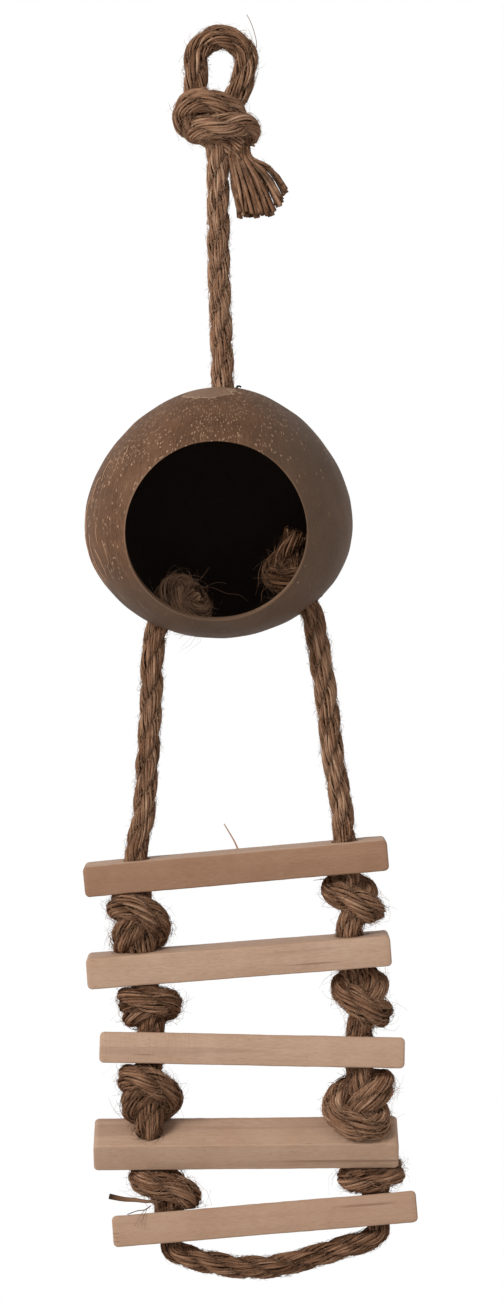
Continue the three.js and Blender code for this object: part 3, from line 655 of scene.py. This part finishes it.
def pull_tight(loose, step=0.3):
    """Pulls a knot's ends apart until its turns lie against each other. Returns the turns, in rope widths."""
    line = smooth(loose, step)
    step = strides(line).mean()
    one, two = np.triu_indices(len(line), round(CLOSEST_TURN / step))
    for _ in range(PULLS):
        if strides(line).max() < STRETCH * step:
            line[:2, 2] += PULL
            line[-2:, 2] -= PULL
        line[1:-1] += STIFFNESS * ((line[:-2] + line[2:]) / 2 - line[1:-1])
        for first in (0, 1, 0, 1, 0, 1):
            gap = line[first + 1::2] - line[first:-1:2]
            far = np.linalg.norm(gap, axis=1, keepdims=True)
            move = 0.5 * (1 - step / far) * gap
            line[first:-1:2] += move
            line[first + 1::2] -= move
        line[[0, -1], :2] = 0
        gap = line[two] - line[one]
        far = np.linalg.norm(gap, axis=1, keepdims=True)
        near = far[:, 0] < 1
        move = PUSH * (1 / far[near] - 1) * gap[near]
        np.add.at(line, one[near], -move)
        np.add.at(line, two[near], move)
    turns = np.flatnonzero(np.hypot(line[:, 0], line[:, 1]) > 0.35)
    return line[turns[0]:turns[-1] + 1:2]


tight_knot = pull_tight(LOOSE_KNOT)


def overhand(middle, up, size, turn=0):
    """The route of a knot of a given width, depth and height, turned about its rope."""
    back = Vector(up).cross((1, 0, 0)).normalized()
    side = back.cross(up)
    turned = tight_knot @ np.array(Matrix.Rotation(-math.radians(turn), 3, "Z"))
    low, high = turned.min(axis=0), turned.max(axis=0)
    scale = (np.array(size) - KNOT_ROPE) / (high - low)
    return [middle + side * across + back * behind + Vector(up) * rise
            for across, behind, rise in (turned - (low + high) / 2) * scale]


above, middle, below = in_mm(STOPPER_ROUTE)
stopper_route = [above, *overhand(middle, (0, 0, 1), STOPPER_SIZE), below]
(stopper, _), = lay_rope(("stopper",), stopper_route, 8, diameter=KNOT_ROPE, hairs=0.4)
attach(stopper, "rope_end")
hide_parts("stopper_knot")

# Ladder rope inside the shell: one long rope starts in a knot on the left, and ends in a knot on the right,
# both lying on the floor of the nest. The right one keeps a short cut end that stands up.
# Each knot's place from its hole, its size, the place of the cut end from the knot, the turn and the tint
INNER_KNOTS = {
    "left": ((11.5, -3, 11), (29, 24, 19), (7, 0, 5), 300, 0.5),
    "right": ((-9.5, 1, 15), (22, 23, 24), (5, 0, 19), 265, -0.42),
}
for seed, (hand, (middle, size, end, turn, tint)) in enumerate(INNER_KNOTS.items(), 20):
    mouth, out = hole_mouth(LADDER_HOLES[hand])
    middle = mouth + Vector(middle) * MM
    inside = mouth - out * 2 * SHELL_WALL
    up = (inside - middle).normalized()
    route = [inside, *overhand(middle, up, Vector(size) * MM, turn), middle + Vector(end) * MM]
    (knot, _), = lay_rope((f"nest_knot_{hand}",), route, seed, diameter=KNOT_ROPE, tint=tint, fray=1.3 * MM,
                          hairs=1.5, reach=5 * MM, longest=11 * MM)
    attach(knot, "house")
    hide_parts(f"inner_knot_{hand}")

# Ladder rope from the shell to the first rung: on each side it comes out of the shell's underside, hangs
# straight down under the weight of the rungs, and goes into the first rung's hole.
RUNG_LENGTH = 138 * MM
RUNG_DEPTH = 21 * MM
RUNG_HEIGHT = 14 * MM
TOP = RUNG_HEIGHT / 2
HOLE_SPACING = 95 * MM
SIDES = {"left": -1, "right": 1}
# How far above a rung the rope bends, and how far past a rung's middle a piece of rope reaches
NECK = 2.4 * MM
HOLD = 6 * MM
# How far outside the shell the ladder swings, and half the length of the bend there
SWING_DROP = 3.4 * MM
SWING_BEND = 4 * MM
# Each rung's place across, level, slope and rock in degrees, and the shift of its two holes
RUNGS = (
    (7.5, -371.9, 5.1, 2, 2.7), (8.8, -414.3, 4.4, 3, 3.7), (14.8, -455.5, -1.1, -7, 1.3),
    (12.1, -497.9, 0.5, 29, 3.7), (20.7, -532.4, 4.8, -10, 4),
)
rung_places = []
for across, level, slope, rock, _ in RUNGS:
    turn = Matrix.Rotation(-math.radians(slope), 4, "Y") @ Matrix.Rotation(math.radians(rock), 4, "X")
    rung_places.append(Matrix.Translation(Vector((across, 0, level)) * MM) @ turn)


def hole_shift(rung, side):
    """How far along a rung its left hole is, for side -1, or its right hole, for side 1."""
    return RUNGS[rung][4] * MM + side * HOLE_SPACING / 2


def rung_point(rung, side, height):
    """A point on the axis of a rung's hole, or between the holes, at a height above the rung's middle."""
    return rung_places[rung] @ Vector((hole_shift(rung, side), 0, height))


# Places across and levels of the free rope on each side
UPPER_ROUTES = {
    "left": ((-30.7, -280), (-30.9, -294), (-31.7, -308), (-32.4, -321), (-33.4, -335), (-34.4, -348.5)),
    "right": ((46.3, -280), (48.5, -294), (50.2, -308), (51.5, -321), (53.9, -335), (56, -348.5)),
}
upper_ropes = []
for seed, (hand, way) in enumerate(UPPER_ROUTES.items(), 30):
    mouth, out = hole_mouth(LADDER_HOLES[hand])
    inner_end = mouth + Vector(INNER_KNOTS[hand][0]) * MM
    through = [mouth - out * 2 * SHELL_WALL, mouth + out * 1.5 * MM]
    hang = in_mm((across, -0.3, level) for across, level in way)
    into = [rung_point(0, SIDES[hand], height) for height in (TOP + NECK, 0, -HOLD)]
    names = f"ladder_top_{hand}", f"ladder_foot_{hand}"
    route = [inner_end, *through, *hang, *into]
    pieces = lay_rope(names, route, seed, parts=(0.5,), tint=0.06, hairs=1.2, reach=2.4 * MM)
    upper_ropes += pieces
    (high, _), (low, _) = pieces
    hinge(high, mouth + out * SWING_DROP, hang[0] - through[0], SWING_BEND)
    hinge(low, into[0], into[1] - hang[-1])
    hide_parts(f"ladder_rope_{hand}")
    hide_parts(f"ladder_rope_{hand}")

# Rung knots: under each of the first four rungs the rope has an overhand knot on each side, which carries
# the rung. Below its knot the rope goes on through the next rung's hole, and bends in a short neck above it.
# Left and right knot: place beside the rope, width, depth, free neck below, turn in degrees, and tint
KNOTS = (
    ((-0.5, 29.5, 27, -4, 95, -0.07), (2.3, 28.5, 25, 5, 345, 0)),
    ((1.3, 30, 26, 1.5, 95, -0.18), (2.8, 27.5, 26, 4, 320, -0.05)),
    ((0, 30.5, 26, 3, 90, -0.16), (0, 33.5, 28, -5, 275, 0.12)),
    ((2.2, 29, 25, -3, 12, 0), (1.8, 31, 25, 1, 310, 0)),
)
# How far each rung rocks either way, in degrees
ROCKS = ((-30, 30), (-25, 25), (-20, 25), (-40, 10), (-10, 40))
# How much of a knot gives with the rung below it, and how far off the wood a pressed knot lies
GIVE = 14 * MM
SEAT = 0.3 * MM


def hole_frame(rung, side, height):
    """A frame at a point on the axis of a rung's hole, turned as the rung is."""
    return rung_places[rung] @ Matrix.Translation((hole_shift(rung, side), 0, height))


def press(piece, flat, hole_half, bend=0, soft=0, rocks=(0,)):
    """Presses a knot flat against a rung, round its hole, at each rock of that rung about the bend in the
    rope. Each point of the soft part of the knot is pressed with only a share of the rock."""
    points = np.empty(len(piece.data.vertices) * 3)
    piece.data.vertices.foreach_get("co", points)
    into = np.array(flat.inverted())
    x, y, z = (points.reshape(-1, 3) @ into[:3, :3].T + into[:3, 3]).T
    z -= bend
    share = np.clip((soft - z) / (soft + bend), 0, 1) if soft else 0 * z
    stays = 1 - share * share * (3 - 2 * share)
    for rock in rocks:
        cos, sin = np.cos(stays * math.radians(rock)), np.sin(stays * math.radians(rock))
        across, rise = y * cos + z * sin, z * cos - y * sin
        low = (rise < SEAT - bend) & (np.hypot(x, across) > hole_half)
        rise[low] = SEAT - bend
        y, z = across * cos - rise * sin, rise * cos + across * sin
    back = np.array(flat)
    points = np.column_stack([x, y, z + bend]) @ back[:3, :3].T + back[:3, 3]
    piece.data.vertices.foreach_set("co", points.ravel())
    piece.data.update()


for step, pair in enumerate(KNOTS):
    for (hand, side), (beside, width, depth, neck, turn, tint) in zip(SIDES.items(), pair):
        *above, mouth = (rung_point(step, side, level) for level in (HOLD, 0, -TOP))
        next_mouth, *below = (rung_point(step + 1, side, level) for level in (TOP, TOP + NECK, 0, -HOLD))
        up = (mouth - next_mouth).normalized()
        height = (mouth - next_mouth).length - neck * MM
        middle = mouth - up * height / 2 + Vector((beside * MM, 0, 0))
        route = [*above, *overhand(middle, up, (width * MM, depth * MM, height), turn), *below]
        seed = 40 + 2 * step + (hand == "right")
        (knot, _), = lay_rope((f"knot_{step + 1}_{hand}",), route, seed, diameter=KNOT_ROPE, tint=tint,
                              hairs=1.3, reach=4 * MM, longest=9 * MM)
        below_hole = hole_frame(step, side, -TOP) @ Matrix.Rotation(math.pi, 4, "X")
        press(knot, below_hole, ROPE_HOLE_HALF - 0.2 * MM)
        press(knot, hole_frame(step + 1, side, TOP), ROPE_HOLE_HALF, NECK, GIVE, ROCKS[step + 1])
        below[0] + up * GIVE
        below[0] - up * NECK
        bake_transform(knot)
        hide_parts(f"rung_knot_{step + 1}_{hand}")

# Bottom turn: below the last rung the rope turns across from the left hole to the right one in a slack curve,
# and so ties the two sides of the ladder into one rope.
# Place between the holes, from -1 to 1, and drop below the rung in millimetres
BOTTOM_TURN = (
    (-0.98, 3.4), (-0.84, 7), (-0.64, 10.3), (-0.32, 13.7), (0.02, 14.2),
    (0.32, 11.8), (0.61, 8.8), (0.84, 6.6), (0.98, 3.4),
)
last = len(RUNGS) - 1
lean = Vector((1, 0, 0)) * MM
turn_route = [rung_point(last, -1, HOLD) - lean, rung_point(last, -1, -TOP) + lean * 0.4]
turn_route += [rung_point(last, side, -TOP - drop * MM) for side, drop in BOTTOM_TURN]
turn_route += [rung_point(last, 1, -TOP) - lean * 0.4, rung_point(last, 1, HOLD) + lean]
(bottom, bottom_line), = lay_rope(("bottom_turn",), turn_route, 61, tint=-0.15, reach=1.4 * MM)
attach(bottom, "step_5")
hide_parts("bottom_loop")
# The free stretches of both ropes, with the pieces that go with them
declare(bottom, bottom_line)
declare(drop_top, top_line, with_pieces=(eye, eye_knot, tail))
declare(drop_foot, foot_line, with_pieces=(stopper,))
for rope in upper_ropes:
    declare(*rope)

# Rungs: five sawn strips of pale softwood, sanded on their edges, each with two drilled holes that the rope
# runs through. They rest on the knots below them and lean a little each its own way.
RUNG_CORNER = 2.1 * MM
RUNG_EDGE = 0.8 * MM
RUNG_SLICES = 46
# The left end of the third rung is rough from the saw
ROUGH_RUNG = 2
ROUGH_END = -25 * MM
# How pale the sides of each rung are, and the least that their tops are
RUNG_TINTS = (0.5, 0.96, 0.95, 0.97, 0.79)
TOP_TINT = 0.93
NICK_SEED = 3
# Where each rung lies in the pattern of the wood, and the place and half size of a few dark streaks on it
GRAIN_STEP = Vector((300, 50, 80)) * MM
GRAIN_MARKS = (
    ((551, 89.5, 156.9), (11, 3, 0.8)), ((945, 139.5, 237.5), (26, 3, 0.7)),
    ((1247, 189.5, 322.4), (18, 3, 0.8)), ((335, 39.5, 77), (16, 3, 0.6)),
    ((1132.3, 190, 319), (1.8, 2, 0.3)), ((1132.5, 190, 317.3), (2.2, 2, 0.3)),
    ((1132.7, 190, 315.4), (1.8, 2, 0.3)),
)

sawn, paint = new_finish("sawn_softwood")
grain = paint.attribute("grain", "Vector")
stretched = paint.vector("MULTIPLY", grain, (0.035, 1, 1))
fibre = paint.cloud(paint.vector("MULTIPLY", grain, (0.12, 1, 1)), 1900, 3)
rings = paint.cloud(stretched, 260, 3, 0.55)
wide = paint.cloud(stretched, 95, 2, 0.5)
blotch = paint.cloud(grain, 60, 4, 0.6)
pores = paint.cloud(paint.vector("MULTIPLY", grain, (0.22, 1, 1)), 1500, 2)
shade = rings * 0.24 + fibre * 0.38 + blotch * 0.3 + wide * 0.1
timber = paint.ramp(shade, (0.3, (0.345, 0.2, 0.128)), (0.47, (0.43, 0.268, 0.176)),
                    (0.6, (0.485, 0.318, 0.218)), (0.8, (0.55, 0.377, 0.27)))
timber = paint.mix(timber, (0.24, 0.125, 0.072, 1), pores.between(0.64, 0.74) * 0.42)
streak = (wide + rings * 0.3).between(0.8, 0.87) * 0.28
for middle, half in map(in_mm, GRAIN_MARKS):
    mark = 1 - paint.off(grain, middle, half) + (rings - 0.5) * 2.4
    streak = paint.most(streak, mark.between(0, 0.6) * 0.6)
timber = paint.mix(timber, (0.2, 0.1, 0.055, 1), streak)
timber = paint.mix(timber, (0.624, 0.515, 0.435, 1), (1 - paint.attribute("tint")) * 2, "MULTIPLY")
saw_marks = paint.cloud(paint.vector("MULTIPLY", grain, (1400, 90, 90)), 1, 2, 0.5)
relief = fibre * 0.5 + pores * 0.2 + saw_marks * paint.attribute("rough_end") * 0.9
paint.surface(timber, 0.58 + fibre * 0.15, relief, 0.35 * MM, 0.45)

bpy.ops.mesh.primitive_cube_add(size=1)
blank = bpy.context.object
blank.scale = (RUNG_LENGTH, RUNG_DEPTH, RUNG_HEIGHT)
bpy.ops.object.transform_apply()
bpy.ops.object.mode_set(mode="EDIT")
bpy.ops.mesh.select_mode(type="EDGE")
bpy.ops.mesh.select_all(action="DESELECT")
bpy.ops.object.mode_set(mode="OBJECT")
for edge in blank.data.edges:
    one, two = (blank.data.vertices[corner].co for corner in edge.vertices)
    edge.select = abs(one.y - two.y) > RUNG_EDGE
bpy.ops.object.mode_set(mode="EDIT")
bpy.ops.mesh.bevel(offset=RUNG_CORNER, segments=4)
bpy.ops.mesh.select_all(action="DESELECT")
bpy.ops.mesh.edges_select_sharp(sharpness=math.radians(60))
bpy.ops.mesh.bevel(offset=RUNG_EDGE, segments=3)
for i in range(1, RUNG_SLICES):
    bpy.ops.mesh.select_all(action="SELECT")
    bpy.ops.mesh.bisect(plane_co=((i / RUNG_SLICES - 0.5) * RUNG_LENGTH, 0, 0), plane_no=(1, 0, 0))
bpy.ops.object.mode_set(mode="OBJECT")
noise.seed_set(NICK_SEED)
for i, side_tint in enumerate(RUNG_TINTS):
    rung = blank.copy()
    rung.data = blank.data.copy()
    scene.collection.objects.link(rung)
    for vertex in rung.data.vertices:
        spot = vertex.co / MM + Vector((0, 90 * i, 0))
        wave = Vector((0.1, noise.noise(spot * 0.03), noise.noise(spot * 0.035 + Vector((7, 3, 1)))))
        nick = noise.noise_vector(spot * Vector((0.35, 0.6, 0.6)))
        vertex.co += (wave * 0.22 + nick * 0.1) * MM
    for side in (-1, 1):
        bore(rung, (hole_shift(i, side), 0, 0), (0, 0, 1), ROPE_HOLE_HALF)
    for label, kind in (("grain", "FLOAT_VECTOR"), ("tint", "FLOAT"), ("rough_end", "FLOAT")):
        rung.data.attributes.new(label, kind, "POINT")
    grains, tints, roughs = (rung.data.attributes[label].data for label in ("grain", "tint", "rough_end"))
    for vertex, grain, tint, rough in zip(rung.data.vertices, grains, tints, roughs):
        grain.vector = vertex.co + GRAIN_STEP * i
        on_top = vertex.co.z > TOP - 0.35 * RUNG_EDGE
        tint.value = max(side_tint, TOP_TINT) if on_top else side_tint
        rough.value = 0.8 if i == ROUGH_RUNG and vertex.co.x < ROUGH_END else 0.15
    rung.matrix_world = rung_places[i]
    put_down(rung, f"sawn_rung_{i + 1}", sawn)
    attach(rung, f"step_{i + 1}")
    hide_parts(f"rung_{i + 1}")
bpy.data.objects.remove(blank)

# Loose fibres: single hairs and splinters that stand away from the jute, the wood and the husk. Each is
# rooted in the piece that it has come off.
FIBRE_SIDES = 5
# The points of each fibre, its thickness at the root and at the tip, and its tone, or both tones
WISPS = {
    "eye": [
        ([(15.6, 0, -4), (16.9, -0.5, 2), (15.9, -0.8, 7), (14.2, -1, 12), (12.4, -1.2, 15.4)],
         0.36, 0.3, 0.5, 0.2),
    ],
    "nest": [
        ([(-13, -6, -243), (-13.6, -8, -239), (-15.2, -9, -236.5)], 0.2, 0.1, 0.4),
        ([(-9, -6, -242), (-7, -8, -239.5), (-4.6, -9, -236)], 0.2, 0.1, 0.4),
        ([(-7, -7, -245), (-2.8, -10, -245.4), (3.6, -11, -248), (9, -11, -248.6), (13, -11, -251.6)],
         0.12, 0.08, 0.22),
        ([(-8, -7, -246), (-3, -11, -243.6), (1, -12, -243), (3.6, -12, -243.8)], 0.12, 0.08, 0.22),
        ([(25, -6, -236), (20, -9, -234), (18, -10, -238), (17.6, -10, -245)], 0.17, 0.1, 0.35),
        ([(27, -6, -233), (23.5, -9, -229), (21, -10, -228)], 0.16, 0.1, 0.35),
        ([(24, -6, -244), (19.5, -10, -247), (19, -10, -252)], 0.16, 0.1, 0.35),
    ],
    "rung": [
        ([(8.6, 8.4, -365.4), (6.9, 8.2, -361.4), (4.5, 8, -357.2), (2, 7.8, -353)], 0.9, 0.5, 0.8, 0.7),
    ],
    "first": [([(49.5, -7, -377), (46, -8.5, -377.3), (42.6, -8.5, -377.7)], 0.4, 0.2, 0.12)],
    "last": [
        ([(-28, -5, -523.6), (-33, -8.6, -523), (-38, -9.4, -522.2), (-43.5, -9.4, -521.8),
          (-49.8, -9, -520.6)], 1.3, 2.7, 0.4, 0),
        ([(-31, -8, -525), (-33.6, -9.5, -526.6), (-37, -9.8, -527), (-41.6, -9.5, -528.7)],
         0.5, 0.4, 0.15, 0.05),
        ([(-33, -9, -526), (-35.6, -10.6, -529), (-38, -11.4, -533.5)], 0.3, 0.15, 0.35),
        ([(-32.6, -9, -526), (-34.2, -10.8, -530), (-35, -11.6, -534.5)], 0.3, 0.15, 0.35),
    ],
}

# Husk fibres on the shell: how far left of the front each is, its start, its fall and its sway, in degrees
HUSK_FIBRES = (
    (74, 78, 18, 2), (79, 84, 22, -2), (82, 96, 20, 1.5), (70, 97, 24, 2.5), (66, 104, 16, -2),
    (76, 110, 14, 2), (61, 92, 10, 1), (57, 100, 12, -1), (62, 62, 9, 2), (52, 56, 7, -1.5), (68, 70, 12, 1),
)
HUSK_FIBRE = (0.36, 0.22, 0.8, 0.7)
# Dark scraps of husk beside the hanging rope and at the right ladder hole
HUSK_BITS = [
    ([(7.6, -5, -155.6), (8.5, -5.6, -153.8), (9.9, -5.4, -154.3)], 1.3, 0.8, 0),
    ([(43.3, -5.4, -252), (45, -6.2, -250), (46.8, -6.2, -248.6)], 1.3, 0.8, 0),
]


def loose_fibres(name, fibres):
    """One piece of single fibres, each thicker at its root or at its tip."""
    bundles = []
    for points, root, tip, *tones in fibres:
        path = smooth(in_mm(points), 1 * MM)
        share = np.linspace(0, 1, len(path))
        out = unit(np.cross(np.gradient(path, axis=0), ASKEW))
        radii = (root + (tip - root) * share) / 2 * MM
        tones = tones[0] + (tones[-1] - tones[0]) * share ** 2
        bundles.append((path[None], radii[None], out[None], tones[None], 1.0, FIBRE_SIDES, HAIR_FINISH))
    return twine_mesh(name, bundles)


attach(loose_fibres("eye_wisp", WISPS["eye"]), "hanger")
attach(loose_fibres("nest_wisps", WISPS["nest"]), "house")
splinter = loose_fibres("rung_splinter", WISPS["rung"])
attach(splinter, "step_1")
for step, hand, place in ((1, "right", "first"), (4, "left", "last")):
    wisp = loose_fibres(f"{place}_knot_wisp", WISPS[place])
    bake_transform(wisp)
husk = []
for turn, top, fall, sway in HUSK_FIBRES:
    points = []
    for share in np.linspace(0, 1, 6):
        spin, lean = math.radians(turn + sway * math.sin(3 * share)), math.radians(top + fall * share)
        way = Vector((-math.sin(spin) * math.sin(lean), -math.cos(spin) * math.sin(lean), math.cos(lean)))
        points.append((shell_point(way) + way * 0.12 * MM) / MM)
    husk.append((points, *HUSK_FIBRE))
husk = loose_fibres("husk_fibres", husk + HUSK_BITS)
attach(husk, "house")

# Studio: a plain pale floor below the hanging house, a white room, one large soft lamp at the top left and a
# weaker one at the right.
FLOOR_MIDDLE = (0, 0, -0.8)
FLOOR_HALF = 1.1
ROOM_LIGHT = 0.42
LIT_PLACE = Vector((0.01, 0, -0.3))
CAMERA_PLACE = Vector((0.0148, -1.5, -0.2735))
VIEW_HEIGHT = 0.5915
SENSOR = 36
floor_finish, paint = new_finish("pale_floor")
speckle = paint.cloud(paint.node("TexCoord", out="Object"), 40, 2, 0.5)
floor_colour = paint.mix((0.8, 0.8, 0.8, 1), (0.84, 0.84, 0.84, 1), speckle)
paint.surface(floor_colour, 0.8, speckle, 0.01 * MM)
bpy.ops.mesh.primitive_circle_add(vertices=96, radius=FLOOR_HALF, fill_type="NGON", location=FLOOR_MIDDLE)
floor = bpy.context.object
floor.name = "studio_floor"
floor.data.materials.append(floor_finish)

scene.world, paint = new_finish("white_room", bpy.data.worlds)
seen = paint.node("LightPath", out=("Is Camera Ray", "Is Glossy Ray", "Is Transmission Ray"))
strength = ROOM_LIGHT + paint.most(*seen) * (1 - ROOM_LIGHT)
room = paint.node("Background", {}, {"Color": (1, 1, 1, 1), "Strength": strength})
paint.node("OutputWorld", {}, {"Surface": room})


def lamp(name, at, power, size):
    light = bpy.data.lights.new(name, "AREA")
    light.energy, light.shape, light.size = power, "DISK", size
    holder = bpy.data.objects.new(name, light)
    holder.location = at
    holder.rotation_euler = (LIT_PLACE - Vector(at)).to_track_quat("-Z", "Y").to_euler()
    scene.collection.objects.link(holder)


lamp("window", (-1.5, -1.5, 0.75), 46, 0.9)
lamp("fill", (1.4, -1.3, 0.1), 3, 1.2)

camera = bpy.data.cameras.new("camera")
camera.sensor_width = SENSOR
camera.lens = SENSOR * -CAMERA_PLACE.y / VIEW_HEIGHT
holder = bpy.data.objects.new("camera", camera)
holder.location = CAMERA_PLACE
holder.rotation_euler = (math.pi / 2, 0, 0)
scene.collection.objects.link(holder)
scene.camera = holder
scene.view_settings.view_transform = "Standard"
